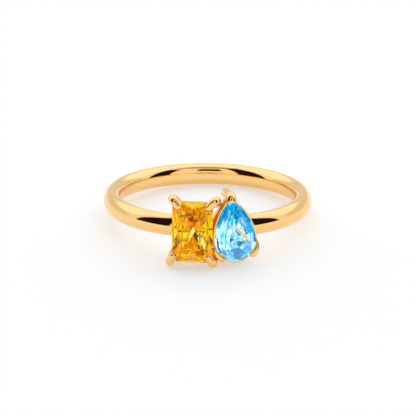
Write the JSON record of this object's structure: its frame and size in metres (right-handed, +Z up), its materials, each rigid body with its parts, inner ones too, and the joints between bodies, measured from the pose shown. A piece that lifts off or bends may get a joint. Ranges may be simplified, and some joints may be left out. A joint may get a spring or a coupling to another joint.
{
  "type": "toi et moi ring",
  "caption": "Plain round finger ring with claw settings side by side, an oblong faceted stone beside a pear-shaped faceted stone.",
  "frame": {"origin": "on the surface that the ring lies on, under the middle of its box", "axes": "+Z up from the surface, -Y towards the stones' side of the ring, +X from the oblong stone to the pear stone"},
  "size_m": [0.0208, 0.0232, 0.0075],
  "materials": {
    "gold": "high polish, warm yellow gold",
    "radiant_gem": "transparent yellow-orange faceted gem",
    "pear_gem": "transparent sky-blue faceted gem"
  },
  "bodies": {
    "root": {"band_and_settings": "gold", "radiant_stone": "radiant_gem", "pear_stone": "pear_gem"}
  },
  "joints": []
}
